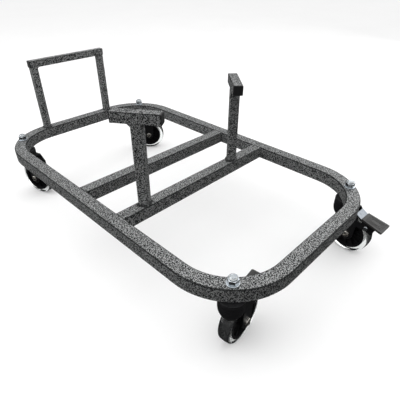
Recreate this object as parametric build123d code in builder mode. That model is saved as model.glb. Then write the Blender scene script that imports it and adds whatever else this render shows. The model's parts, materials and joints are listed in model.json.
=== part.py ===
"""Paddock stand: a low rolling dolly.

A rounded ring of square steel tube runs on four swivel casters. Two crossmembers tie its long
rails together, two tee posts stand on the front crossmember and an upright frame stands on the
rear of the ring. The front casters have foot brakes. Millimetres, +Z up, +Y towards the rear.
"""

from build123d import *
from math import cos, hypot, radians, sin
import os

# ---------------------------------------------------------------- ring and crossmembers
frame_length = 874.0
frame_width = 506.0
ring_corner_radius = 142.0  # outside of the bend
ring_tube = 30.0
ring_wall = 2.0
ring_edge_radius = 3.0
front_crossmember_y = -106.0
rear_crossmember_y = 34.5

# ---------------------------------------------------------------- upright frame at the rear
rear_tube = 18.0
rear_wall = 1.5
rear_edge_radius = 1.6
rear_frame_width = 230.0
rear_frame_height = 191.0  # above the top of the ring
rear_frame_offset = -7.0  # sideways from the middle of the ring

# ---------------------------------------------------------------- tee posts
tee_tube = 22.0
tee_wall = 1.5
tee_edge_radius = 2.0
tee_height = 201.0  # above the top of the crossmember
tee_bar_length = 95.0
left_tee_x = -160.5
left_tee_turn = 34.5  # degrees, anticlockwise from above
right_tee_x = 117.5
right_tee_turn = -42.5

# ---------------------------------------------------------------- plastic end caps and welds
cap_flange = 2.0
cap_edge_round = 1.0
cap_plug_depth = 10.0
cap_plug_clearance = 0.2
weld_leg = 4.0
tee_weld_leg = 6.5

# ---------------------------------------------------------------- caster mounting
caster_arc_angle = 43.5  # place of the stem on the corner bend, from the X axis
stem_diameter = 12.0
stem_hole_clearance = 0.5
stem_tip = 1.8  # beyond the nut
stem_tip_chamfer = 1.0
washer_diameter = 24.0
washer_thickness = 2.5
nut_across_flats = 18.0
nut_height = 9.5
nut_collar_diameter = 16.4
nut_collar_height = 2.6

# ---------------------------------------------------------------- caster
wheel_diameter = 100.0
wheel_trail = 28.0
tyre_clearance = 8.1  # under the spindle's head
tyre_width = 25.0
tyre_thickness = 11.0
tyre_shoulder = 5.0
core_rim_depth = 6.0
core_web = 7.0
core_rib = 2.6
core_rib_count = 12
core_rib_inset = 3.5
hub_diameter = 25.0
hub_length = 31.0
bushing_diameter = 14.0
bushing_proud = 0.1
axle_diameter = 8.0
axle_fit = 0.05  # radial, bushing on axle
axle_hole_clearance = 0.25
axle_head_diameter = 15.5
axle_head_height = 4.2
axle_slot = 1.9
axle_slot_depth = 1.6
axle_slot_turn = 40.0
axle_nut_across_flats = 13.0
axle_nut_height = 7.0
axle_tail = 1.6
swivel_diameter = 48.0
stem_cap_height = 4.0
swivel_gap = 0.35  # between parts that turn against each other
housing_height = 9.6
housing_round = 1.0
spindle_diameter = 10.0
spindle_fit = 0.05  # radial, housing and fork on the spindle
spindle_head_diameter = 17.0
spindle_head_height = 2.6
swivel_ball_diameter = 6.0
swivel_ball_circle = 28.0
swivel_ball_count = 12
ball_gap = 0.1
fork_sheet = 2.5
fork_side_gap = 0.4  # fork leg to hub
fork_crown_sheet = 3.0
fork_leg_radius = 14.3
fork_crown_end = 31.0
fork_leg_flare = 3.0
fork_bowl_straight = 6.0  # upright part of the bowl round the spindle
fork_bowl_depth = 28.0
fork_bowl_foot = 16.8  # outside radius at the bowl's lower edge
fork_bowl_opening = -4.0  # the wheel's opening in the bowl starts here, along the trail

# ---------------------------------------------------------------- foot brake
brake_pivot_clearance = 3.4  # from the tread to the pivot's middle
brake_pivot_angle = 43.9  # above level, seen from the axle
brake_travel = 8.0  # degrees, pressed to released
brake_pin_diameter = 5.0
brake_pin_fit = 0.05
rivet_head_diameter = 10.0
rivet_head_height = 2.4
fork_ear_radius = 7.0
brake_sheet = 2.0
brake_side_gap = 0.5  # fork leg to brake arm
shoe_radius = 3.0
shoe_out = 11.0  # from the pivot, along the trail
shoe_drop = 9.5  # below the pivot
lever_sheet = 2.5
lever_tang_width = 27.0
lever_start = -31.5  # from the pivot, along the trail
lever_start_rise = 23.5  # above the pivot
lever_curl_radius = 2.0
lever_knee = -1.0  # along the pad, where the lever bends up towards the stem
pad_start = -14.5  # from the pivot, along the trail
pad_end = 35.5
pad_start_rise = 18.0  # above the pivot
pad_fall = 10.0  # from its start to its end
pad_thickness = 5.0
pad_start_width = 33.0
pad_end_width = 41.0
pad_corner = 3.0
pad_cover = 2.5  # above the lever
groove_width = 1.3
groove_depth = 0.9
groove_pitch = 3.6
groove_count = 3

# side and end of the ring, heading of the wheel about its stem (degrees anticlockwise from +X),
# and how far the brake's pedal stands up from its pressed place, or None without a brake
caster_settings = {
    "front_left": (-1, -1, 6.0, brake_travel),
    "front_right": (1, -1, 267.0, 0.0),
    "rear_left": (-1, 1, 288.0, None),
    "rear_right": (1, 1, 316.0, None),
}

# ---------------------------------------------------------------- worked out from the above
housing_top = stem_cap_height + swivel_gap
crown_top = housing_top + housing_height
crown_bottom = crown_top + fork_crown_sheet
spindle_end = crown_bottom + swivel_gap + spindle_head_height
caster_height = spindle_end + tyre_clearance + wheel_diameter
ring_bottom = caster_height
ring_middle = ring_bottom + ring_tube / 2
ring_top = ring_bottom + ring_tube
path_x = (frame_width - ring_tube) / 2
path_y = (frame_length - ring_tube) / 2
path_radius = ring_corner_radius - ring_tube / 2
seam_y = (front_crossmember_y + rear_crossmember_y) / 2
stem_x = path_x - path_radius + path_radius * cos(radians(caster_arc_angle))
stem_y = path_y - path_radius + path_radius * sin(radians(caster_arc_angle))
stem_hole_radius = stem_diameter / 2 + stem_hole_clearance
wheel_radius = wheel_diameter / 2
core_radius = wheel_radius - tyre_thickness
axle_drop = caster_height - wheel_radius
fork_inside = hub_length / 2 + fork_side_gap
fork_outside = fork_inside + fork_sheet
brake_pivot_reach = wheel_radius + brake_pivot_clearance
brake_pivot_out = wheel_trail + brake_pivot_reach * cos(radians(brake_pivot_angle))
brake_pivot_drop = axle_drop - brake_pivot_reach * sin(radians(brake_pivot_angle))

pieces = []


def keep(part, name, location=Location()):
    """Labels a copy of a finished part, placed, and puts it on the list to write."""
    piece = part.moved(location)
    piece.label = name
    pieces.append(piece)


def tube_profile(size, wall, edge_radius):
    """The section of a square tube, in the sketch that is open."""
    RectangleRounded(size, size, edge_radius)
    RectangleRounded(
        size - 2 * wall,
        size - 2 * wall,
        max(edge_radius - wall, edge_radius / 4),
        mode=Mode.SUBTRACT,
    )


def straight_tube(size, wall, edge_radius, length, middle, direction):
    """A square tube whose middle and direction are given, upright in section."""
    across = Vector(0, 0, 1).cross(Vector(*direction)) if not direction[2] else Vector(1, 0, 0)
    start = Vector(*middle) - Vector(*direction) * (length / 2)
    with BuildPart() as tube:
        with BuildSketch(Plane(origin=start, x_dir=across, z_dir=direction)):
            tube_profile(size, wall, edge_radius)
        extrude(amount=length)
    return tube.part


# ---------------------------------------------------------------- ring and crossmembers
def ring_half(end):
    """One U-bent half of the ring, at the front (end=-1) or the rear (end=1)."""
    corners = [
        (-path_x, seam_y, ring_middle),
        (-path_x, end * path_y, ring_middle),
        (path_x, end * path_y, ring_middle),
        (path_x, seam_y, ring_middle),
    ]
    with BuildPart() as half:
        with BuildLine():
            FilletPolyline(*corners, radius=path_radius)
        with BuildSketch(Plane(origin=corners[0], x_dir=(1, 0, 0), z_dir=(0, end, 0))):
            tube_profile(ring_tube, ring_wall, ring_edge_radius)
        sweep()
        with Locations((-stem_x, end * stem_y, ring_top), (stem_x, end * stem_y, ring_top)):
            Hole(radius=stem_hole_radius, depth=2 * ring_tube)
    return half.part


def crossmember(y):
    """A tube from rail to rail, level with the ring."""
    length = frame_width - 2 * ring_tube
    return straight_tube(
        ring_tube, ring_wall, ring_edge_radius, length, (0, y, ring_middle), (1, 0, 0)
    )


def fillet_bead(corner, along, side, up, leg, length):
    """A hollow-faced weld bead in a corner, along an edge, between two flat faces."""
    corner, along = Vector(*corner), Vector(*along)
    plane = Plane(origin=corner - along * (length / 2), x_dir=side, z_dir=along)
    rise = 1 if plane.y_dir.dot(Vector(*up)) > 0 else -1
    with BuildPart() as bead:
        with BuildSketch(plane):
            with BuildLine():
                Line((leg, 0), (0, 0))
                Line((0, 0), (0, rise * leg))
                ThreePointArc((0, rise * leg), (leg * 0.36, rise * leg * 0.36), (leg, 0))
            make_face()
        extrude(amount=length)
    return bead.part


def crossmember_welds():
    """The upright seams where the crossmembers meet the rails."""
    height = ring_tube - 2 * ring_edge_radius
    rail_face = frame_width / 2 - ring_tube
    beads = []
    for y in (front_crossmember_y, rear_crossmember_y):
        for x_side in (-1, 1):
            for y_side in (-1, 1):
                corner = (x_side * rail_face, y + y_side * ring_tube / 2, ring_middle)
                side, up = (-x_side, 0, 0), (0, y_side, 0)
                beads.append(fillet_bead(corner, (0, 0, 1), side, up, weld_leg, height))
    return Compound(beads)


def base_bead(size, edge_radius, leg, turn, limit):
    """A bead round the foot of a square post on z = 0, kept on a tube that is limit wide in Y."""
    with BuildPart() as bead:
        with BuildSketch():
            RectangleRounded(size + 2 * leg, size + 2 * leg, edge_radius + leg, rotation=turn)
            RectangleRounded(size, size, edge_radius, rotation=turn, mode=Mode.SUBTRACT)
        extrude(amount=leg)
        rim = bead.faces().sort_by(Axis.Z)[-1].outer_wire().edges()
        chamfer(rim, length=leg * 0.92)
        Box(4 * size, limit, 4 * leg, mode=Mode.INTERSECT)
    return bead.part


def end_cap(size, wall, edge_radius):
    """A plastic cap for a square tube: the flange outside z = 0 and the plug inside."""
    plug = size - 2 * wall - 2 * cap_plug_clearance
    with BuildPart() as cap:
        with BuildSketch():
            RectangleRounded(size, size, edge_radius)
        extrude(amount=cap_flange)
        fillet(cap.faces().sort_by(Axis.Z)[-1].edges(), radius=cap_edge_round)
        with BuildSketch():
            RectangleRounded(plug, plug, edge_radius / 2)
        extrude(amount=-cap_plug_depth)
    return cap.part


def bar_caps(bar_length, size, wall, edge_radius, along):
    """The two caps of a bar whose middle is at the origin and which runs along a direction."""
    cap = end_cap(size, wall, edge_radius)
    caps = []
    for end in (-1, 1):
        out = Vector(*along) * end
        caps.append(cap.moved(Plane(origin=out * (bar_length / 2), z_dir=out).location))
    return Compound(caps)


# ---------------------------------------------------------------- upright frame
rear_bar_length = rear_frame_width - 2 * cap_flange
rear_post_x = (rear_bar_length - rear_tube) / 2
rear_bar_z = ring_top + rear_frame_height - rear_tube / 2


def rear_post(side):
    length = rear_frame_height - rear_tube
    middle = (rear_frame_offset + side * rear_post_x, path_y, ring_top + length / 2)
    return straight_tube(rear_tube, rear_wall, rear_edge_radius, length, middle, (0, 0, 1))


def rear_bar():
    middle = (rear_frame_offset, path_y, rear_bar_z)
    return straight_tube(
        rear_tube, rear_wall, rear_edge_radius, rear_bar_length, middle, (1, 0, 0)
    )


def rear_welds():
    """A bead round each post's foot and one in each upper inside corner."""
    foot = base_bead(rear_tube, rear_edge_radius, weld_leg * 0.7, 0, ring_tube)
    beads = []
    for side in (-1, 1):
        x = rear_frame_offset + side * rear_post_x
        beads.append(foot.moved(Location((x, path_y, ring_top))))
        corner = (x - side * rear_tube / 2, path_y, rear_bar_z - rear_tube / 2)
        length = rear_tube - 2 * rear_edge_radius
        beads.append(
            fillet_bead(corner, (0, 1, 0), (-side, 0, 0), (0, 0, -1), weld_leg, length)
        )
    return Compound(beads)


# ---------------------------------------------------------------- tee posts
def tee_post():
    """The post alone, standing on z = 0 at the origin."""
    length = tee_height - tee_tube
    return straight_tube(tee_tube, tee_wall, tee_edge_radius, length, (0, 0, length / 2), (0, 0, 1))


def tee_bar():
    middle = (0, 0, tee_height - tee_tube / 2)
    return straight_tube(tee_tube, tee_wall, tee_edge_radius, tee_bar_length, middle, (0, 1, 0))


def tee_head_beads():
    """The beads under the bar, before and behind the post."""
    beads = []
    length = tee_tube - 2 * tee_edge_radius
    for side in (-1, 1):
        corner = (0, side * tee_tube / 2, tee_height - tee_tube)
        beads.append(
            fillet_bead(corner, (1, 0, 0), (0, side, 0), (0, 0, -1), tee_weld_leg, length)
        )
    return Compound(beads)


# ---------------------------------------------------------------- caster mounting, stem at the origin
def stem():
    """Threaded stem, cap disc and swivel spindle, riveted into one piece."""
    top = ring_tube + washer_thickness + nut_height + nut_collar_height + stem_tip
    head_seat = spindle_end - spindle_head_height
    with BuildPart() as part:
        with BuildSketch():
            Circle(stem_diameter / 2)
        extrude(amount=top)
        chamfer(part.faces().sort_by(Axis.Z)[-1].edges(), length=stem_tip_chamfer)
        with BuildSketch(Plane.XY.offset(-stem_cap_height)):
            Circle(swivel_diameter / 2)
        extrude(amount=stem_cap_height)
        with BuildSketch(Plane.XY.offset(-stem_cap_height)):
            Circle(spindle_diameter / 2)
        extrude(amount=stem_cap_height - head_seat)
        with BuildSketch(Plane.XY.offset(-head_seat)):
            Circle(spindle_head_diameter / 2)
        extrude(amount=-spindle_head_height)
    return part.part


def washer():
    with BuildPart() as part:
        with BuildSketch(Plane.XY.offset(ring_tube)):
            Circle(washer_diameter / 2)
            Circle(stem_hole_radius, mode=Mode.SUBTRACT)
        extrude(amount=washer_thickness)
    return part.part


def stem_nut():
    """A locking nut: hexagon below, round collar above."""
    seat = ring_tube + washer_thickness
    with BuildPart() as part:
        with BuildSketch(Plane.XY.offset(seat)):
            RegularPolygon(nut_across_flats / 2, 6, major_radius=False)
        extrude(amount=nut_height)
        chamfer(part.faces().sort_by(Axis.Z)[-1].edges(), length=0.9)
        with BuildSketch(Plane.XY.offset(seat + nut_height)):
            Circle(nut_collar_diameter / 2)
        extrude(amount=nut_collar_height)
        fillet(part.faces().sort_by(Axis.Z)[-1].edges(), radius=1.0)
        with BuildSketch(Plane.XY.offset(seat)):
            Circle(stem_diameter / 2)
        extrude(amount=nut_height + nut_collar_height, mode=Mode.SUBTRACT)
    return part.part


# ---------------------------------------------------------------- caster, stem at the origin
# Each caster piece is made with its stem's axis on Z, the underside of the ring at z = 0 and
# the wheel trailing towards +X.
axle_plane = Plane(origin=(wheel_trail, 0, -axle_drop), x_dir=(1, 0, 0), z_dir=(0, 0, 1))
axle_axis = Axis((wheel_trail, 0, -axle_drop), (0, 1, 0))


def side_plane(y, x=0.0, z=0.0):
    """An upright plane along the caster, facing -Y, with its origin at x, z."""
    return Plane(origin=(x, y, z), x_dir=(1, 0, 0), z_dir=(0, -1, 0))


def axle_side(y):
    return side_plane(y, wheel_trail, -axle_drop)


def pivot_side(y):
    return side_plane(y, brake_pivot_out, -brake_pivot_drop)


def swivel_housing():
    """The dome under the cap disc, with the ball track in its top."""
    bore = spindle_diameter / 2 + spindle_fit
    rim = swivel_diameter / 2
    track_depth = stem_cap_height + ball_gap + swivel_ball_diameter - housing_top
    track_width = swivel_ball_diameter + 3 * ball_gap
    with BuildPart() as part:
        with BuildSketch(Plane.XZ) as section:
            with Locations(((bore + rim) / 2, -housing_top - housing_height / 2)):
                Rectangle(rim - bore, housing_height)
            corner = section.vertices().group_by(Axis.X)[-1].sort_by(Axis.Y)[0]
            fillet(corner, radius=housing_round)
            with Locations((swivel_ball_circle / 2, -housing_top - track_depth / 2)):
                Rectangle(track_width, track_depth, mode=Mode.SUBTRACT)
        revolve(axis=Axis.Z)
    return part.part


def swivel_balls():
    height = stem_cap_height + ball_gap + swivel_ball_diameter / 2
    with BuildPart(Plane.XY.offset(-height)) as part:
        with PolarLocations(swivel_ball_circle / 2, swivel_ball_count):
            Sphere(swivel_ball_diameter / 2)
    return part.part


def bowl_outline(inset):
    """The bowl's section, from its top edge down to its foot."""
    radius = swivel_diameter / 2 - inset
    bend = -crown_top - fork_bowl_straight
    foot = (fork_bowl_foot - inset, -crown_top - fork_bowl_depth)
    upright = Line((radius, -crown_top), (radius, bend))
    curve = TangentArc(upright @ 1, foot, tangent=upright % 1)
    return Wire([upright.edge(), curve.edge()])


def fork(braked):
    """A pressed steel fork: a bowl under the housing, open for the wheel, and two legs, with
    ears where a brake pivots."""
    leg_width = 2 * fork_leg_radius
    leg_top = axle_drop - crown_top
    shoulder_drop = axle_drop - brake_pivot_drop + fork_ear_radius
    with BuildPart() as part:
        with BuildSketch(Plane.XZ):
            with BuildLine():
                outside = bowl_outline(0)
                inside = bowl_outline(fork_sheet)
                Line(outside @ 0, inside @ 0)
                Line(outside @ 1, inside @ 1)
            make_face()
        revolve(axis=Axis.Z)
        with BuildSketch(Plane.XY.offset(-crown_top - fork_bowl_depth)):
            with Locations((fork_bowl_opening, 0)):
                Rectangle(
                    swivel_diameter, 2 * fork_inside, align=(Align.MIN, Align.CENTER)
                )
        extrude(amount=fork_bowl_depth, mode=Mode.SUBTRACT)
        with BuildSketch(Plane.XY.offset(-crown_bottom)):
            Circle(swivel_diameter / 2)
            with Locations((fork_crown_end / 2, 0)):
                Rectangle(fork_crown_end, 2 * fork_outside)
        extrude(amount=fork_crown_sheet)
        with BuildSketch(Plane.XY.offset(-crown_bottom)):
            Circle(spindle_diameter / 2 + spindle_fit)
        extrude(amount=fork_crown_sheet, mode=Mode.SUBTRACT)
        for y in (-fork_inside, fork_outside):
            with BuildSketch(axle_side(y)):
                with BuildLine():
                    Polyline(
                        (-fork_leg_radius, 0),
                        (-fork_leg_radius, leg_top),
                        (fork_crown_end - wheel_trail, leg_top),
                        (fork_leg_radius + fork_leg_flare, shoulder_drop),
                        (fork_leg_radius, 0),
                        close=True,
                    )
                make_face()
                Circle(fork_leg_radius)
            extrude(amount=fork_sheet)
            if braked:
                reach = brake_pivot_out - wheel_trail - fork_leg_radius
                with BuildSketch(pivot_side(y)):
                    Circle(fork_ear_radius)
                    with Locations((-reach / 2, 0)):
                        Rectangle(reach, 2 * fork_ear_radius)
                extrude(amount=fork_sheet)
        with BuildSketch(axle_side(fork_outside)):
            Circle(axle_diameter / 2 + axle_hole_clearance)
        extrude(amount=2 * fork_outside, mode=Mode.SUBTRACT)
        if braked:
            with BuildSketch(pivot_side(fork_outside)):
                Circle(brake_pin_diameter / 2)
            extrude(amount=2 * fork_outside, mode=Mode.SUBTRACT)
    return part.part


def axle_bolt():
    """The axle: a slotted cheese-head bolt, its head on the -Y side."""
    tail = fork_outside + axle_nut_height + axle_tail
    with BuildPart() as part:
        with BuildSketch(axle_side(-fork_outside)):
            Circle(axle_head_diameter / 2)
        extrude(amount=axle_head_height)
        fillet(part.faces().sort_by(Axis.Y)[0].edges(), radius=1.4)
        with BuildSketch(axle_side(-fork_outside - axle_head_height)):
            Rectangle(2 * axle_head_diameter, axle_slot, rotation=axle_slot_turn)
        extrude(amount=-axle_slot_depth, mode=Mode.SUBTRACT)
        with BuildSketch(axle_side(tail)):
            Circle(axle_diameter / 2)
        extrude(amount=tail + fork_outside)
        chamfer(part.faces().sort_by(Axis.Y)[-1].edges(), length=0.8)
    return part.part


def axle_nut():
    with BuildPart() as part:
        with BuildSketch(axle_side(fork_outside + axle_nut_height)):
            RegularPolygon(axle_nut_across_flats / 2, 6, major_radius=False)
        extrude(amount=axle_nut_height)
        chamfer(part.faces().sort_by(Axis.Y)[-1].edges(), length=0.8)
        with BuildSketch(axle_side(fork_outside + axle_nut_height)):
            Circle(axle_diameter / 2)
        extrude(amount=axle_nut_height, mode=Mode.SUBTRACT)
    return part.part


def wheel_core():
    """A ribbed wheel: hub, thin web, rim and radial ribs."""
    bore = bushing_diameter / 2
    hub = hub_diameter / 2
    rim = core_radius - core_rim_depth
    rib_length = rim - hub + 2
    rib_width = tyre_width - 2 * core_rib_inset
    with BuildPart() as part:
        with BuildSketch(axle_plane):
            with Locations(((bore + hub) / 2, 0)):
                Rectangle(hub - bore, hub_length)
            with Locations(((hub + rim) / 2, 0)):
                Rectangle(rim - hub + 1, core_web)
            with Locations(((rim + core_radius) / 2, 0)):
                Rectangle(core_rim_depth, tyre_width)
        revolve(axis=axle_axis)
        with BuildSketch(axle_side(rib_width / 2)):
            with PolarLocations((hub + rim) / 2, core_rib_count):
                Rectangle(rib_length, core_rib)
        extrude(amount=rib_width)
    return part.part


def tyre():
    with BuildPart() as part:
        with BuildSketch(axle_plane) as section:
            with Locations(((core_radius + wheel_radius) / 2, 0)):
                Rectangle(tyre_thickness, tyre_width)
            fillet(section.vertices().group_by(Axis.X)[-1], radius=tyre_shoulder)
        revolve(axis=axle_axis)
    return part.part


def hub_bushing():
    length = hub_length + 2 * bushing_proud
    with BuildPart() as part:
        with BuildSketch(axle_side(length / 2)):
            Circle(bushing_diameter / 2)
            Circle(axle_diameter / 2 + axle_fit, mode=Mode.SUBTRACT)
        extrude(amount=length)
    return part.part


# ---------------------------------------------------------------- foot brake, on the caster
pad_length = hypot(pad_end - pad_start, pad_fall)
pad_plane = Plane(
    origin=(brake_pivot_out + pad_start, 0, pad_start_rise - brake_pivot_drop),
    x_dir=(pad_end - pad_start, 0, -pad_fall),
    z_dir=(pad_fall, 0, pad_end - pad_start),
)
lever_depth = pad_cover + lever_sheet / 2  # middle of the lever below the pad's top
tang_end = pad_length - 3.0
arm_start = 3.0
arm_end = 34.0


def on_side(along, depth):
    """A point beside the pad's plane, in the pivot's upright plane."""
    point = pad_plane.from_local_coords((along, 0, -depth))
    return (point.X - brake_pivot_out, point.Z + brake_pivot_drop)


def brake_pin():
    with BuildPart() as part:
        for y, way in ((-fork_outside, 1), (fork_outside, -1)):
            with BuildSketch(pivot_side(y)):
                Circle(rivet_head_diameter / 2)
            extrude(amount=way * rivet_head_height)
        fillet(part.faces().sort_by(Axis.Y)[0].edges(), radius=1.6)
        fillet(part.faces().sort_by(Axis.Y)[-1].edges(), radius=1.6)
        with BuildSketch(pivot_side(fork_outside)):
            Circle(brake_pin_diameter / 2)
        extrude(amount=2 * fork_outside)
    return part.part


def brake_arm():
    """Two side plates on the pivot, a web under the lever and the bar that presses the tyre."""
    outside = fork_inside - brake_side_gap
    inside = outside - brake_sheet
    under = pad_cover + lever_sheet
    start, end = on_side(arm_start, under), on_side(arm_end, under)
    low_end = on_side(arm_end, under + brake_sheet)
    low_start = on_side(arm_start, under + brake_sheet)
    with BuildPart() as part:
        for y in (outside, -inside):
            with BuildSketch(pivot_side(y)):
                with BuildLine():
                    Line(start, end)
                    Line(end, low_end)
                    CenterArc((0, 0), fork_ear_radius, 0, 360)
                    CenterArc((shoe_out, -shoe_drop), shoe_radius + 1.5, 0, 360)
                make_hull()
            extrude(amount=brake_sheet)
        with BuildSketch(pivot_side(outside)):
            with BuildLine():
                Polyline(start, end, low_end, low_start, close=True)
            make_face()
        extrude(amount=2 * outside)
        with BuildSketch(pivot_side(inside)):
            with Locations((shoe_out, -shoe_drop)):
                Circle(shoe_radius)
        extrude(amount=2 * inside)
        with BuildSketch(pivot_side(outside)):
            Circle(brake_pin_diameter / 2 + brake_pin_fit)
        extrude(amount=2 * outside, mode=Mode.SUBTRACT)
    return part.part


def brake_lever():
    """The bright lever plate: curled at the wheel's end, its tang inside the pad."""
    knee = on_side(lever_knee, lever_depth)
    tip = on_side(tang_end, lever_depth)
    curl_length = 2.3 * lever_curl_radius
    lever_width = 2 * (fork_inside - brake_side_gap)
    with BuildPart() as part:
        with BuildSketch(pivot_side(lever_width / 2)):
            with BuildLine():
                FilletPolyline(
                    (lever_start, lever_start_rise - curl_length),
                    (lever_start, lever_start_rise),
                    knee,
                    tip,
                    radius=lever_curl_radius,
                )
            trace(line_width=lever_sheet)
        extrude(amount=lever_width)
        with BuildSketch(pad_plane.offset(-pad_cover - 2 * lever_sheet)):
            for side in (-1, 1):
                with Locations((pad_length / 2, side * (lever_width + lever_tang_width) / 4)):
                    Rectangle(pad_length, (lever_width - lever_tang_width) / 2)
        extrude(amount=3 * lever_sheet, mode=Mode.SUBTRACT)
    return part.part


def brake_pad():
    """The grooved plastic pad, open underneath where it holds the lever's tang."""
    with BuildPart() as part:
        with BuildSketch(pad_plane) as outline:
            with BuildLine():
                Polyline(
                    (0, -pad_start_width / 2),
                    (pad_length, -pad_end_width / 2),
                    (pad_length, pad_end_width / 2),
                    (0, pad_start_width / 2),
                    close=True,
                )
            make_face()
            fillet(outline.vertices().group_by(Axis.X)[-1], radius=pad_corner)
        extrude(amount=-pad_thickness)
        with BuildSketch(pad_plane):
            with Locations((pad_length / 2 + 1.5, 0)):
                for ring in range(groove_count):
                    inset = 2 * ring * groove_pitch
                    length = pad_length - 13 - inset
                    width = pad_start_width - 6 - inset
                    Rectangle(length, width)
                    Rectangle(
                        length - 2 * groove_width, width - 2 * groove_width, mode=Mode.SUBTRACT
                    )
        extrude(amount=-groove_depth, mode=Mode.SUBTRACT)
        with BuildSketch(pad_plane.offset(-pad_cover)):
            with Locations((tang_end / 2, 0)):
                Rectangle(tang_end + lever_sheet, lever_tang_width)
        extrude(amount=-pad_thickness, mode=Mode.SUBTRACT)
    return part.part


# ---------------------------------------------------------------- the whole stand
keep(ring_half(-1), "ring_front_half")
keep(ring_half(1), "ring_rear_half")
keep(crossmember(front_crossmember_y), "front_crossmember")
keep(crossmember(rear_crossmember_y), "rear_crossmember")
keep(crossmember_welds(), "crossmember_welds")

keep(rear_post(-1), "rear_post_left")
keep(rear_post(1), "rear_post_right")
keep(rear_bar(), "rear_top_bar")
keep(rear_welds(), "rear_frame_welds")
rear_caps = bar_caps(rear_bar_length, rear_tube, rear_wall, rear_edge_radius, (1, 0, 0))
keep(rear_caps, "rear_bar_caps", Location((rear_frame_offset, path_y, rear_bar_z)))

tee_welds = []
tee_caps = []
for side, x, turn in (("left", left_tee_x, left_tee_turn), ("right", right_tee_x, right_tee_turn)):
    foot = (x, front_crossmember_y, ring_top)
    place = Location(foot, (0, 0, turn))
    keep(tee_post(), f"{side}_tee_post", place)
    keep(tee_bar(), f"{side}_tee_bar", place)
    tee_welds += tee_head_beads().moved(place).solids()
    foot_bead = base_bead(tee_tube, tee_edge_radius, weld_leg, turn, ring_tube)
    tee_welds += foot_bead.moved(Location(foot)).solids()
    caps = bar_caps(tee_bar_length, tee_tube, tee_wall, tee_edge_radius, (0, 1, 0))
    tee_caps += caps.moved(place * Location((0, 0, tee_height - tee_tube / 2))).solids()
keep(Compound(tee_welds), "tee_welds")
keep(Compound(tee_caps), "tee_bar_caps")

mountings = {"caster_stems": stem(), "stem_washers": washer(), "stem_nuts": stem_nut()}
for name, part in mountings.items():
    copies = [
        part.moved(Location((x_side * stem_x, y_side * stem_y, ring_bottom)))
        for x_side, y_side, heading, pedal_rise in caster_settings.values()
    ]
    keep(Compound(copies), name)

rolling_parts = {
    "swivel_housing": swivel_housing(),
    "swivel_balls": swivel_balls(),
    "axle_bolt": axle_bolt(),
    "axle_nut": axle_nut(),
    "wheel_core": wheel_core(),
    "tyre": tyre(),
    "hub_bushing": hub_bushing(),
}
pedal_parts = {
    "brake_arm": brake_arm(),
    "brake_lever": brake_lever(),
    "brake_pad": brake_pad(),
}
pivot = Location((brake_pivot_out, 0, -brake_pivot_drop))
for corner, (x_side, y_side, heading, pedal_rise) in caster_settings.items():
    place = Location((x_side * stem_x, y_side * stem_y, ring_bottom), (0, 0, heading))
    braked = pedal_rise is not None
    keep(fork(braked), f"{corner}_fork", place)
    for name, part in rolling_parts.items():
        keep(part, f"{corner}_{name}", place)
    if braked:
        keep(brake_pin(), f"{corner}_brake_pin", place)
        raised = place * pivot * Location((0, 0, 0), (0, -pedal_rise, 0)) * pivot.inverse()
        for name, part in pedal_parts.items():
            keep(part, f"{corner}_{name}", raised)

# The origin is on the floor, under the middle of the overall box.
overall = Compound(pieces).bounding_box()
to_origin = Location((-overall.center().X, -overall.center().Y, 0))
os.makedirs("parts", exist_ok=True)
for piece in pieces:
    label = piece.label
    piece = piece.moved(to_origin)
    piece.label = label
    export_step(piece, f"parts/{label}.step")
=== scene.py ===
"""Looks for the paddock stand: hammered paint, zinc hardware, black casters and clear tyres.

Metres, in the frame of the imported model: +Z up, the floor at z = 0, +Y towards the rear.
"""

import json
from math import cos, pi, radians, sin

import bmesh
import bpy
from mathutils import Matrix, Vector

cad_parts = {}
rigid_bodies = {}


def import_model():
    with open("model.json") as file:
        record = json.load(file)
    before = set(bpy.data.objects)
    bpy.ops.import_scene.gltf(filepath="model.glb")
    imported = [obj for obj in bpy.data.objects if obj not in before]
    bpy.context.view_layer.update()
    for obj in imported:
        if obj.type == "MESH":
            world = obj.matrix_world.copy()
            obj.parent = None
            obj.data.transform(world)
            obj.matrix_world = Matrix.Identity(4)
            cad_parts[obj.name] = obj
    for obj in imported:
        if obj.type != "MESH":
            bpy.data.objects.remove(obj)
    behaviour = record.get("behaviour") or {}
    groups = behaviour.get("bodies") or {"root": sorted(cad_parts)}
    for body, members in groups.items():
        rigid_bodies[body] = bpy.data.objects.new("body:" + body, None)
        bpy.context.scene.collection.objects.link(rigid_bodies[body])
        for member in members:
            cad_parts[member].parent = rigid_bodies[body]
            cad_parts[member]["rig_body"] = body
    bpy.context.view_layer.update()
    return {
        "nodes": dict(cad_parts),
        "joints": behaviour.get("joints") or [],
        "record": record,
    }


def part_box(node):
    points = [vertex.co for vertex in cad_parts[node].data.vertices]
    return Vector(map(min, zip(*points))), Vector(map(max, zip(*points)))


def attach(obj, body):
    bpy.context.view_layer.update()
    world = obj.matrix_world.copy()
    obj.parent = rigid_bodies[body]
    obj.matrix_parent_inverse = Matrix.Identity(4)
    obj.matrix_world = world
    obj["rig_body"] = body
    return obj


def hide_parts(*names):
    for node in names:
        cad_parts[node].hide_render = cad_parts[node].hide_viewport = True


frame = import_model()

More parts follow.
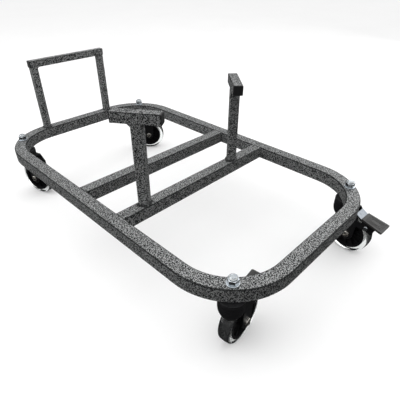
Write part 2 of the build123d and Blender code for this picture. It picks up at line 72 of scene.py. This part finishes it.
# ---------------------------------------------------------------- camera, floor and lights
camera_from_ring = (-0.5337, -0.6310, 0.5972)  # from the ring's middle, at floor level
camera_heading = radians(45.73)  # from +Y towards +X
camera_fall = radians(34.19)  # below level
camera_roll = radians(0.17)
camera_lens = 33.05  # millimetres, on the usual 36 mm sensor
floor_size = 40.0
sky_below = 0.03
sky_above = 1.3
backdrop = 0.9  # what the camera sees beyond the floor
floor_glow = 0.12
top_light = {"place": (-0.3, 0.4, 2.2), "target": (0, 0, 0), "size": 2.2, "power": 6}
left_light = {"place": (-1.7, 1.4, 0.9), "target": (0, 0, 0.1), "size": 2.4, "power": 22}
right_light = {"place": (2.1, -0.75, 0.9), "target": (0, 0, 0.1), "size": 2.4, "power": 22}

# ---------------------------------------------------------------- sizes of the fine detail
MM = 0.001
corners = ("front_left", "front_right", "rear_left", "rear_right")
braked_corners = corners[:2]
left_tee_turn = radians(34.5)  # anticlockwise from above
right_tee_turn = radians(-42.5)
tee_size = 22 * MM
tee_edge = 2 * MM
rear_edge = 1.6 * MM
rear_tube_size = 18 * MM
ring_tube_size = 30 * MM
ring_edge = 3 * MM
weld_leg = 4 * MM
rear_weld_leg = 2.8 * MM
tee_weld_leg = 6.5 * MM
weld_ripple = 1.7 * MM
weld_sink = 0.3 * MM  # how far a bead's back lies inside the metal
foot_bead_steps = 24  # along each side of a post
foot_corner_steps = 6
stem_radius = 6 * MM
thread_pitch = 1.75 * MM
thread_depth = 0.85 * MM
cap_disc_radius = 24 * MM
cap_disc_height = 4 * MM
spindle_radius = 5 * MM
spindle_length = 17.3 * MM
spindle_head_radius = 8.5 * MM
spindle_head_height = 2.6 * MM
washer_radius = 12 * MM
washer_bore = 6.5 * MM
washer_height = 2.5 * MM
nut_flats = 18 * MM
nut_corner_cut = 1.1 * MM
nut_cone_slope = 1.732
nut_height = 9.5 * MM
nut_collar_radius = 8.2 * MM
nut_collar_height = 2.6 * MM
wheel_radius = 50 * MM
tyre_half_width = 12.5 * MM
tyre_inner_radius = 38.6 * MM
tyre_shoulder = 5 * MM
tyre_crown = 0.5 * MM


# ---------------------------------------------------------------- materials
def new_material(name, **values):
    """A material and its shader, with the values that are the same all over set on the shader."""
    material = bpy.data.materials.new(name)
    material.use_nodes = True
    shader = material.node_tree.nodes["Principled BSDF"]
    for socket, value in values.items():
        shader.inputs[socket.replace("_", " ")].default_value = value
    return material, shader


def add(material, kind, inputs, **settings):
    """A new node with its settings made and its inputs set or joined to other nodes."""
    node = material.node_tree.nodes.new(kind)
    for setting, value in settings.items():
        setattr(node, setting, value)
    for socket, value in inputs.items():
        if isinstance(value, bpy.types.NodeSocket):
            material.node_tree.links.new(value, node.inputs[socket])
        else:
            node.inputs[socket].default_value = value
    return node


def grain(material, scale, detail=2.0, distortion=0.0):
    """Noise through the solid, fixed to the piece."""
    place = add(material, "ShaderNodeTexCoord", {}).outputs["Object"]
    inputs = {"Vector": place, "Scale": scale, "Detail": detail, "Distortion": distortion}
    return add(material, "ShaderNodeTexNoise", inputs).outputs["Fac"]


def ranged(material, value, low, high, to_low, to_high, smooth=False):
    inputs = {"Value": value, "From Min": low, "From Max": high, "To Min": to_low, "To Max": to_high}
    way = "SMOOTHSTEP" if smooth else "LINEAR"
    return add(material, "ShaderNodeMapRange", inputs, interpolation_type=way).outputs["Result"]


def blend_colour(material, share, first, second):
    """A mix of two colours. Inputs 6 and 7 and output 2 are the Mix node's colour sockets."""
    inputs = {"Factor": share, 6: (*first, 1), 7: (*second, 1)}
    return add(material, "ShaderNodeMix", inputs, data_type="RGBA").outputs[2]


def join(material, shader, socket, value):
    material.node_tree.links.new(value, shader.inputs[socket])


def raise_surface(material, shader, height, distance, strength=1.0):
    inputs = {"Height": height, "Distance": distance, "Strength": strength}
    join(material, shader, "Normal", add(material, "ShaderNodeBump", inputs).outputs["Normal"])


def multiplied(material, first, second):
    inputs = {0: first, 1: second}
    return add(material, "ShaderNodeMath", inputs, operation="MULTIPLY").outputs[0]


def painted_edge_shade(material):
    """1 on level and upright faces, falling to 0.1 on the rounded edges between them: painted shade,
    dimming the pale veins there so the edges show a dark line, as if no light fell on them."""
    normal = add(material, "ShaderNodeNewGeometry", {}).outputs["True Normal"]
    height = add(material, "ShaderNodeSeparateXYZ", {"Vector": normal}).outputs["Z"]
    above = ranged(material, height, 0.08, 0.25, 1.0, 0.1, smooth=True)
    level = ranged(material, height, 0.93, 0.99, 0.0, 1.0, smooth=True)
    return add(material, "ShaderNodeMath", {0: above, 1: level}, operation="MAXIMUM").outputs[0]


def hammer_paint():
    """Silver-vein powder coat: winding pale ridges on a near-black ground."""
    material, shader = new_material("hammer_paint", Specular_IOR_Level=0.22)
    wander = grain(material, 500.0, detail=1.0, distortion=0.9)
    vein = ranged(material, wander, 0.495, 0.55, 0.0, 1.0, smooth=True)
    flakes = ranged(material, grain(material, 1400.0), 0.35, 0.65, 0.6, 1.0)
    # the veins fade on the rounded edges: painted shade along every edge of the frame tubes
    share = multiplied(material, multiplied(material, vein, flakes), painted_edge_shade(material))
    join(material, shader, "Base Color", blend_colour(
        material, share, (0.004, 0.005, 0.005), (0.56, 0.57, 0.57)))
    join(material, shader, "Metallic", ranged(material, share, 0.0, 1.0, 0.0, 0.4))
    join(material, shader, "Roughness", ranged(material, share, 0.0, 1.0, 0.5, 0.36))
    raise_surface(material, shader, vein, 0.00025, 0.7)
    return material


def zinc(name, dark, light):
    """Zinc plating, a little cloudy."""
    material, shader = new_material(name, Metallic=1.0)
    cloud = grain(material, 160.0, detail=3.0)
    join(material, shader, "Base Color", blend_colour(material, cloud, dark, light))
    join(material, shader, "Roughness", ranged(material, cloud, 0.3, 0.7, 0.16, 0.3))
    raise_surface(material, shader, grain(material, 2600.0), 0.00002, 0.4)
    return material


def nickel():
    """Warmer, polished metal of the slotted axle heads and rivets."""
    material, shader = new_material("nickel_plate", Metallic=1.0)
    cloud = grain(material, 300.0, detail=2.0)
    join(material, shader, "Base Color", blend_colour(
        material, cloud, (0.66, 0.63, 0.57), (0.86, 0.84, 0.79)))
    join(material, shader, "Roughness", ranged(material, cloud, 0.3, 0.7, 0.2, 0.32))
    raise_surface(material, shader, grain(material, 3000.0), 0.00002, 0.4)
    return material


def black_coat():
    """Satin black coating on pressed steel, with a fine orange-peel surface."""
    material, shader = new_material("black_coat", Specular_IOR_Level=0.35)
    peel = grain(material, 700.0, detail=2.0)
    join(material, shader, "Base Color", blend_colour(
        material, peel, (0.007, 0.007, 0.008), (0.017, 0.017, 0.018)))
    join(material, shader, "Roughness", ranged(material, peel, 0.3, 0.7, 0.26, 0.4))
    raise_surface(material, shader, peel, 0.00005, 0.35)
    return material


def gloss_plastic():
    """Polished black moulding."""
    material, shader = new_material("gloss_black_moulding", Specular_IOR_Level=0.3)
    flow = grain(material, 120.0, detail=3.0, distortion=1.5)
    join(material, shader, "Base Color", blend_colour(
        material, flow, (0.006, 0.006, 0.007), (0.014, 0.014, 0.015)))
    join(material, shader, "Roughness", ranged(material, flow, 0.3, 0.7, 0.1, 0.22))
    raise_surface(material, shader, flow, 0.00005, 0.15)
    return material


def grained_plastic(name, dark, light, rough):
    """Moulded plastic with a fine leathery grain."""
    material, shader = new_material(name)
    pebble = grain(material, 1800.0, detail=1.0)
    join(material, shader, "Base Color", blend_colour(material, pebble, dark, light))
    join(material, shader, "Roughness", ranged(material, pebble, 0.3, 0.7, rough, rough + 0.15))
    raise_surface(material, shader, pebble, 0.00006, 0.5)
    return material


def clear_urethane():
    """Water-clear moulded urethane, faintly smoky, its polish a little uneven."""
    material, shader = new_material(
        "clear_urethane", Transmission_Weight=1.0, IOR=1.5, Base_Color=(0.9, 0.92, 0.91, 1))
    flow = grain(material, 220.0, detail=2.0, distortion=1.0)
    join(material, shader, "Roughness", ranged(material, flow, 0.3, 0.7, 0.01, 0.035))
    return material


def floor_paper():
    """Near-white paper, faintly mottled."""
    material, shader = new_material(
        "floor_paper", Emission_Color=(1, 1, 1, 1), Emission_Strength=floor_glow)
    mottle = grain(material, 3.0, detail=4.0)
    join(material, shader, "Base Color", blend_colour(
        material, mottle, (0.86, 0.86, 0.86), (0.9, 0.9, 0.9)))
    join(material, shader, "Roughness", ranged(material, mottle, 0.3, 0.7, 0.75, 0.9))
    return material


paint = hammer_paint()
zinc_plate = zinc("zinc_plate", (0.42, 0.46, 0.5), (0.72, 0.75, 0.77))
lever_zinc = zinc("lever_zinc", (0.15, 0.17, 0.19), (0.36, 0.38, 0.41))
nickel_plate = nickel()
coat = black_coat()
core_plastic = gloss_plastic()
pad_plastic = grained_plastic("pad_moulding", (0.022, 0.022, 0.022), (0.055, 0.054, 0.052), 0.42)
cap_plastic = grained_plastic("cap_moulding", (0.008, 0.008, 0.008), (0.02, 0.02, 0.021), 0.35)
nylon = grained_plastic("nylon_moulding", (0.6, 0.59, 0.53), (0.72, 0.71, 0.65), 0.4)
urethane = clear_urethane()


# ---------------------------------------------------------------- making pieces
def finished(name, mesh, material, body, slot, *nodes):
    """Puts a mesh into the scene as a piece that rides on a body and stands for CAD nodes."""
    mesh.name = name
    mesh.materials.clear()
    mesh.materials.append(material)
    piece = bpy.data.objects.new(name, mesh)
    bpy.context.scene.collection.objects.link(piece)
    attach(piece, body)
    if nodes:
        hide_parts(*nodes)
    return piece


def mesh_of(solids, sharp_angle=35.0):
    """One mesh from several closed solids, each a pair of points and faces."""
    shape = bmesh.new()
    for points, faces in solids:
        vertices = [shape.verts.new(point) for point in points]
        for face in faces:
            shape.faces.new([vertices[index] for index in face])
    bmesh.ops.remove_doubles(shape, verts=shape.verts, dist=1e-7)
    bmesh.ops.recalc_face_normals(shape, faces=shape.faces)
    mesh = bpy.data.meshes.new("solids")
    shape.to_mesh(mesh)
    shape.free()
    mesh.shade_smooth()
    mesh.set_sharp_from_angle(angle=radians(sharp_angle))
    return mesh


def turned(place, rings, columns=96):
    """A solid about place's Z axis. A ring is its height and its radius, or the radius's formula
    in the angle; the last ring joins the first."""
    points = []
    faces = []
    for height, radius in rings:
        for column in range(columns):
            angle = 2 * pi * column / columns
            reach = radius(angle) if callable(radius) else radius
            points.append(place @ Vector((reach * cos(angle), reach * sin(angle), height)))
    for ring in range(len(rings)):
        here = ring * columns
        there = (ring + 1) % len(rings) * columns
        for column in range(columns):
            after = (column + 1) % columns
            faces.append((here + column, here + after, there + after, there + column))
    return points, faces


def arc(height, radius, size, start, end, steps=8):
    """Rings along an arc about (height, radius), from one angle to another in degrees, where 0
    points along +Z and 90 away from the axis."""
    rings = []
    for step in range(steps + 1):
        angle = radians(start + (end - start) * step / steps)
        rings.append((height + size * cos(angle), radius + size * sin(angle)))
    return rings


def stem_place(corner):
    """The middle of a caster's stem at the underside of the ring."""
    joint = next(j for j in frame["joints"] if j["name"] == f"{corner}_swivel_turn")
    return Matrix.Translation(Vector(joint["pos_m"]))


def axle_place(corner):
    """A caster's axle: Z along the axle and X along the trail."""
    joint = next(j for j in frame["joints"] if j["name"] == f"{corner}_wheel_spin")
    along = Vector(joint["axis"])
    trail = Vector((along.y, -along.x, 0))
    turn = Matrix((trail, along.cross(trail), along)).transposed().to_4x4()
    return Matrix.Translation(Vector(joint["pos_m"])) @ turn


def rounded_copy(node, material, slot, width):
    """A copy of a CAD node with its sharp edges rolled over, in the node's place."""
    shape = bmesh.new()
    shape.from_mesh(frame["nodes"][node].data)
    bmesh.ops.remove_doubles(shape, verts=shape.verts, dist=1e-6)
    bmesh.ops.dissolve_limit(
        shape, angle_limit=radians(0.5), verts=shape.verts, edges=shape.edges)
    plain = bpy.data.meshes.new(node)
    shape.to_mesh(plain)
    shape.free()
    if "custom_normal" in plain.attributes:
        plain.attributes.remove(plain.attributes["custom_normal"])
    plain.shade_smooth()
    holder = bpy.data.objects.new("holder", plain)
    bpy.context.scene.collection.objects.link(holder)
    bevel = holder.modifiers.new("bevel", "BEVEL")
    bevel.width = width
    bevel.segments = 2
    bevel.limit_method = "ANGLE"
    bevel.angle_limit = radians(35)
    weighted = holder.modifiers.new("normals", "WEIGHTED_NORMAL")
    weighted.weight = 100
    graph = bpy.context.evaluated_depsgraph_get()
    mesh = bpy.data.meshes.new_from_object(holder.evaluated_get(graph))
    bpy.data.objects.remove(holder)
    body = frame["nodes"][node]["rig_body"]
    return finished(f"{node}_rounded", mesh, material, body, slot, node)


# ---------------------------------------------------------------- weld beads
def bead(stations, leg, closed, limit=None):
    """A convex fillet bead with crescent ripples. A station is the corner's point and the two
    directions in which the bead's legs lie; limit clamps the bead between two values of Y."""
    slices = 7
    points = []
    run = 0.0
    last = stations[0][0]
    for index, (corner, side, up) in enumerate(stations):
        run += (corner - last).length
        last = corner
        near_end = min(index, len(stations) - 1 - index) / 3
        size = leg if closed else leg * min(1.0, 0.55 + 0.45 * near_end)
        points.append(corner - (side + up) * weld_sink)
        for part in range(slices + 1):
            share = part / slices
            swell = sin(pi * share)
            ripple = (run / weld_ripple + 0.45 * swell) % 1.0
            reach = size * (1 + swell * (0.3 + 0.16 * ripple) * 0.5)
            point = corner + (side * (1 - share) + up * share) * reach
            if limit:
                point.y = min(max(point.y, limit[0]), limit[1])
            points.append(point)
    row = slices + 2
    faces = []
    count = len(stations)
    for index in range(count if closed else count - 1):
        here = index * row
        there = (index + 1) % count * row
        for part in range(row):
            after = (part + 1) % row
            faces.append((here + part, here + after, there + after, there + part))
    if not closed:
        faces.append(tuple(range(row)))
        faces.append(tuple(range((count - 1) * row, count * row)))
    return points, faces


def straight_bead(start, end, side, up, leg):
    start, end = Vector(start), Vector(end)
    side, up = Vector(side), Vector(up)
    count = max(8, int((end - start).length / (0.22 * weld_ripple)))
    stations = [(start.lerp(end, step / count), side, up) for step in range(count + 1)]
    return bead(stations, leg, closed=False)


def foot_bead(middle, size, turn, leg, limit=None):
    """A bead all round the foot of a square post."""
    flat = size / 2 - tee_edge
    stations = []
    for quarter in range(4):
        base = turn + quarter * pi / 2
        for step in range(foot_bead_steps + 1):
            along = flat * (2 * step / foot_bead_steps - 1)
            out = Vector((cos(base), sin(base), 0))
            across = Vector((-sin(base), cos(base), 0))
            stations.append((middle + out * size / 2 + across * along, out, Vector((0, 0, 1))))
        for step in range(1, foot_corner_steps):
            angle = base + step / foot_corner_steps * pi / 2
            out = Vector((cos(angle), sin(angle), 0))
            centre = middle + Vector((cos(base), sin(base), 0)) * flat
            centre += Vector((-sin(base), cos(base), 0)) * flat
            stations.append((centre + out * tee_edge, out, Vector((0, 0, 1))))
    return bead(stations, leg, closed=True, limit=limit)


def crossmember_beads():
    """Upright beads where the crossmembers meet the ring."""
    solids = []
    for node in ("front_crossmember", "rear_crossmember"):
        low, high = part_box(node)
        for x, way in ((low.x, 1), (high.x, -1)):
            for y, side in ((low.y, -1), (high.y, 1)):
                solids.append(straight_bead(
                    (x, y, low.z + ring_edge), (x, y, high.z - ring_edge), (way, 0, 0), (0, side, 0),
                    weld_leg))
    finished("crossmember_beads", mesh_of(solids), paint, "frame", "hammer_paint",
             "crossmember_welds")


def rear_frame_beads():
    """Beads round the feet of the upright frame and under the ends of its bar."""
    solids = []
    bar_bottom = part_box("rear_top_bar")[0].z
    for node, inward in (("rear_post_left", 1), ("rear_post_right", -1)):
        low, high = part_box(node)
        middle = (low + high) / 2
        middle.z = low.z
        solids.append(foot_bead(middle, rear_tube_size, 0.0, rear_weld_leg))
        x = high.x if inward > 0 else low.x
        solids.append(straight_bead(
            (x, low.y + rear_edge, bar_bottom), (x, high.y - rear_edge, bar_bottom),
            (inward, 0, 0), (0, 0, -1), weld_leg))
    finished("rear_frame_beads", mesh_of(solids), paint, "frame", "hammer_paint",
             "rear_frame_welds")


def tee_beads():
    """Beads round the feet of the tee posts and under their bars."""
    solids = []
    rail_low, rail_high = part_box("front_crossmember")
    limit = (rail_low.y + 0.8 * MM, rail_high.y - 0.8 * MM)
    for node, turn in (("left_tee_post", left_tee_turn), ("right_tee_post", right_tee_turn)):
        low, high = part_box(node)
        middle = (low + high) / 2
        middle.z = low.z
        solids.append(foot_bead(middle, tee_size, turn, weld_leg, limit))
        across = Vector((cos(turn), sin(turn), 0))
        along = Vector((-sin(turn), cos(turn), 0))
        top = Vector((middle.x, middle.y, high.z))
        for way in (-1, 1):
            corner = top + along * way * tee_size / 2
            reach = across * (tee_size / 2 - tee_edge)
            solids.append(straight_bead(
                corner - reach, corner + reach, along * way, (0, 0, -1), tee_weld_leg))
    finished("tee_beads", mesh_of(solids), paint, "frame", "hammer_paint", "tee_welds")


# ---------------------------------------------------------------- caster mounting hardware
def threaded_rod(place, radius, bottom, top):
    """A rod with a real V thread and a chamfered tip."""
    columns = 64
    rows = int((top - bottom) / (thread_pitch / 10))
    tip = 1.2 * MM
    rings = [(bottom, 0.0)]
    for row in range(rows + 1):
        height = bottom + (top - bottom) * row / rows

        def reach(angle, height=height):
            phase = (height / thread_pitch - angle / (2 * pi)) % 1.0
            groove = thread_depth * min(1.0, 1.25 * (1 - abs(2 * phase - 1)))
            return min(radius - groove, radius - 0.8 * (height - (top - tip)))

        rings.append((height, reach))
    rings.append((top, 0.0))
    return turned(place, rings, columns)


def hexagon(flats):
    """The radius of a hexagon, as a formula in the angle."""
    def reach(angle):
        return flats / 2 / cos((angle % (pi / 3)) - pi / 6)
    return reach


def chamfered_hexagon(flats, rim, drop):
    """A hexagon cut back by a 30 degree cone, at a height that is drop away from its rim."""
    outline = hexagon(flats)

    def reach(angle):
        return min(outline(angle), rim + drop * nut_cone_slope)
    return reach


def lock_nut(place, flats, height, collar_radius, collar_height, bore):
    """A hexagon with coned corners, and a round collar rolled over its nylon ring."""
    rim = flats / 2 * 0.97
    steps = 5
    rings = [(0.0, bore), (0.0, rim)]
    for step in range(1, steps + 1):
        drop = nut_corner_cut * step / steps
        rings.append((drop, chamfered_hexagon(flats, rim, drop)))
    for step in range(steps, 0, -1):
        drop = nut_corner_cut * step / steps
        rings.append((height - drop, chamfered_hexagon(flats, rim, drop)))
    rings.append((height, rim))
    rings.append((height, collar_radius + 0.25 * MM))
    rings.append((height + 0.25 * MM, collar_radius))
    rings += [
        (h, r) for h, r in arc(height + collar_height - 1.0 * MM, collar_radius - 1.0 * MM,
                               1.0 * MM, 90, 0, 6)]
    rings += [(height + collar_height - 0.3 * MM, collar_radius - 1.5 * MM)]
    rings += [(height + collar_height - 0.9 * MM, collar_radius - 1.6 * MM)]
    rings += [(height + collar_height - 0.9 * MM, bore)]
    return turned(place, rings, 144)


def stem_hardware():
    """Threads, washers, lock nuts with their nylon rings, and the black spindle caps."""
    threads, washers, nuts, rings, spindles = [], [], [], [], []
    ring_height = ring_tube_size
    seat = ring_height + washer_height
    nut_top = seat + nut_height + nut_collar_height
    stem_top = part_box("caster_stems")[1].z
    for corner in corners:
        place = stem_place(corner)
        top = stem_top - place.translation.z
        threads.append(threaded_rod(place, stem_radius, -1 * MM, top))
        edge = 0.5 * MM
        washers.append(turned(place, [
            (ring_height, washer_bore),
            (ring_height, washer_radius - edge / 2),
            (ring_height + edge / 2, washer_radius),
            *arc(seat - edge, washer_radius - edge, edge, 90, 0, 5),
            (seat, washer_bore + edge / 2),
            (seat - edge / 2, washer_bore)]))
        lift = Matrix.Translation((0, 0, seat))
        nuts.append(lock_nut(place @ lift, nut_flats, nut_height, nut_collar_radius,
                             nut_collar_height, stem_radius + 0.1 * MM))
        rings.append(turned(place, [
            (nut_top - 0.95 * MM, stem_radius - 0.3 * MM),
            (nut_top - 0.95 * MM, nut_collar_radius - 1.65 * MM),
            (nut_top - 0.35 * MM, nut_collar_radius - 1.75 * MM),
            (nut_top - 0.2 * MM, stem_radius + 0.2 * MM),
            (nut_top - 0.4 * MM, stem_radius - 0.3 * MM)], 64))
        disc = [(0.0, 0.0), (0.0, cap_disc_radius - 0.4 * MM), (-0.4 * MM, cap_disc_radius)]
        low = -cap_disc_height
        end = -spindle_length
        spindles.append(turned(place, disc + [
            (low + 0.5 * MM, cap_disc_radius),
            (low, cap_disc_radius - 0.5 * MM),
            (low, spindle_radius),
            (end, spindle_radius),
            (end, spindle_head_radius - 0.6 * MM),
            (end - 0.6 * MM, spindle_head_radius),
            (end - spindle_head_height + 0.8 * MM, spindle_head_radius - 0.2 * MM),
            (end - spindle_head_height, spindle_head_radius - 1.6 * MM),
            (end - spindle_head_height, 0.0)]))
    finished("stem_threads", mesh_of(threads), zinc_plate, "frame", "zinc_hardware",
             "caster_stems")
    finished("stem_spindles", mesh_of(spindles), coat, "frame", "fork_black", "caster_stems")
    finished("washers", mesh_of(washers), zinc_plate, "frame", "zinc_hardware", "stem_washers")
    finished("lock_nuts", mesh_of(nuts), zinc_plate, "frame", "zinc_hardware", "stem_nuts")
    finished("nut_inserts", mesh_of(rings), nylon, "frame", "bushing_nylon", "stem_nuts")


# ---------------------------------------------------------------- casters
def tyre(corner):
    """A clear tyre: flat sides, round shoulders and a slight crown."""
    half = tyre_half_width
    shoulder = tyre_shoulder
    flank = wheel_radius - tyre_crown - shoulder
    rings = [(-half, tyre_inner_radius)]
    rings += arc(-half + shoulder, flank, shoulder, 180, 90, 12)
    tread = half - shoulder
    for step in range(-5, 6):
        across = step / 6
        rings.append((tread * across, wheel_radius - tyre_crown * across ** 2))
    rings += arc(half - shoulder, flank, shoulder, 90, 0, 12)
    rings.append((half, tyre_inner_radius))
    mesh = mesh_of([turned(axle_place(corner), rings, 160)])
    finished(f"{corner}_clear_tyre", mesh, urethane, f"{corner}_wheel", "clear_tyre",
             f"{corner}_tyre")


def caster(corner):
    """A caster's tyre, and its other visible nodes with their edges rolled over."""
    tyre(corner)
    rounded_copy(f"{corner}_fork", coat, "fork_black", 0.5 * MM)
    rounded_copy(f"{corner}_wheel_core", core_plastic, "wheel_core", 0.5 * MM)
    rounded_copy(f"{corner}_swivel_housing", coat, "fork_black", 0.4 * MM)
    rounded_copy(f"{corner}_axle_bolt", nickel_plate, "zinc_hardware", 0.2 * MM)
    rounded_copy(f"{corner}_axle_nut", zinc_plate, "zinc_hardware", 0.3 * MM)


def brake(corner):
    """A brake's nodes, with their edges rolled over."""
    rounded_copy(f"{corner}_brake_pin", zinc_plate, "zinc_hardware", 0.3 * MM)
    rounded_copy(f"{corner}_brake_arm", coat, "fork_black", 0.4 * MM)
    rounded_copy(f"{corner}_brake_lever", lever_zinc, "zinc_hardware", 0.4 * MM)
    rounded_copy(f"{corner}_brake_pad", pad_plastic, "pedal_plastic", 0.5 * MM)


# ---------------------------------------------------------------- finishes of the kept nodes
def finish_kept_nodes():
    """Gives the CAD nodes that stay in view their materials."""
    finishes = {"hammer_paint": paint, "cap_plastic": cap_plastic, "bushing_nylon": nylon,
                "ball_steel": nickel_plate}
    for entry in frame["record"]["subparts"]:
        material = finishes.get(entry["material_slot"])
        if material:
            frame["nodes"][entry["node"]].material_slots[0].material = material


# ---------------------------------------------------------------- studio
def area_light(name, place, target, size, power):
    """A square light in watts, turned to face its target."""
    light = bpy.data.lights.new(name, "AREA")
    light.size = size
    light.energy = power
    lamp = bpy.data.objects.new(name, light)
    lamp.location = place
    aim = Vector(target) - Vector(place)
    lamp.rotation_euler = aim.to_track_quat("-Z", "Y").to_euler()
    bpy.context.scene.collection.objects.link(lamp)


def sky():
    """Soft light that is dark below the horizon and brightens towards the zenith."""
    world = bpy.data.worlds.new("studio")
    world.use_nodes = True
    direction = add(world, "ShaderNodeTexCoord", {}).outputs["Generated"]
    height = add(world, "ShaderNodeSeparateXYZ", {"Vector": direction}).outputs["Z"]
    light = ranged(world, height, -0.1, 1.0, sky_below, sky_above)
    seen = add(world, "ShaderNodeLightPath", {}).outputs["Is Camera Ray"]
    inputs = {0: seen, 2: light, 3: backdrop}
    strength = add(world, "ShaderNodeMix", inputs, data_type="FLOAT").outputs[0]
    world.node_tree.links.new(
        strength, world.node_tree.nodes["Background"].inputs["Strength"])
    world.node_tree.nodes["Background"].inputs["Color"].default_value = (1, 1, 1, 1)
    return world


def studio():
    """The floor, the lights and the sky."""
    half = floor_size / 2
    mesh = bpy.data.meshes.new("floor")
    mesh.from_pydata(
        [(-half, -half, 0), (half, -half, 0), (half, half, 0), (-half, half, 0)], [],
        [(0, 1, 2, 3)])
    mesh.materials.append(floor_paper())
    floor = bpy.data.objects.new("floor", mesh)
    bpy.context.scene.collection.objects.link(floor)
    floor.visible_diffuse = False
    floor.visible_glossy = False
    area_light("top_softbox", **top_light)
    area_light("left_softbox", **left_light)
    area_light("right_softbox", **right_light)
    bpy.context.scene.world = sky()
    bpy.context.scene.view_settings.view_transform = "Standard"


def camera():
    """The camera, placed from the middle of the ring."""
    lens = bpy.data.cameras.new("camera")
    lens.lens = camera_lens
    eye = bpy.data.objects.new("camera", lens)
    turn = Matrix.Rotation(-camera_heading, 4, "Z") @ Matrix.Rotation(
        pi / 2 - camera_fall, 4, "X") @ Matrix.Rotation(camera_roll, 4, "Z")
    ring_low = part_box("ring_front_half")[0]
    ring_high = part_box("ring_rear_half")[1]
    ring_middle = (ring_low + ring_high) / 2
    ring_middle.z = 0
    eye.matrix_world = Matrix.Translation(ring_middle + Vector(camera_from_ring)) @ turn
    bpy.context.scene.collection.objects.link(eye)
    bpy.context.scene.camera = eye


camera()
studio()
finish_kept_nodes()
crossmember_beads()
rear_frame_beads()
tee_beads()
stem_hardware()
for corner in corners:
    caster(corner)
for corner in braked_corners:
    brake(corner)
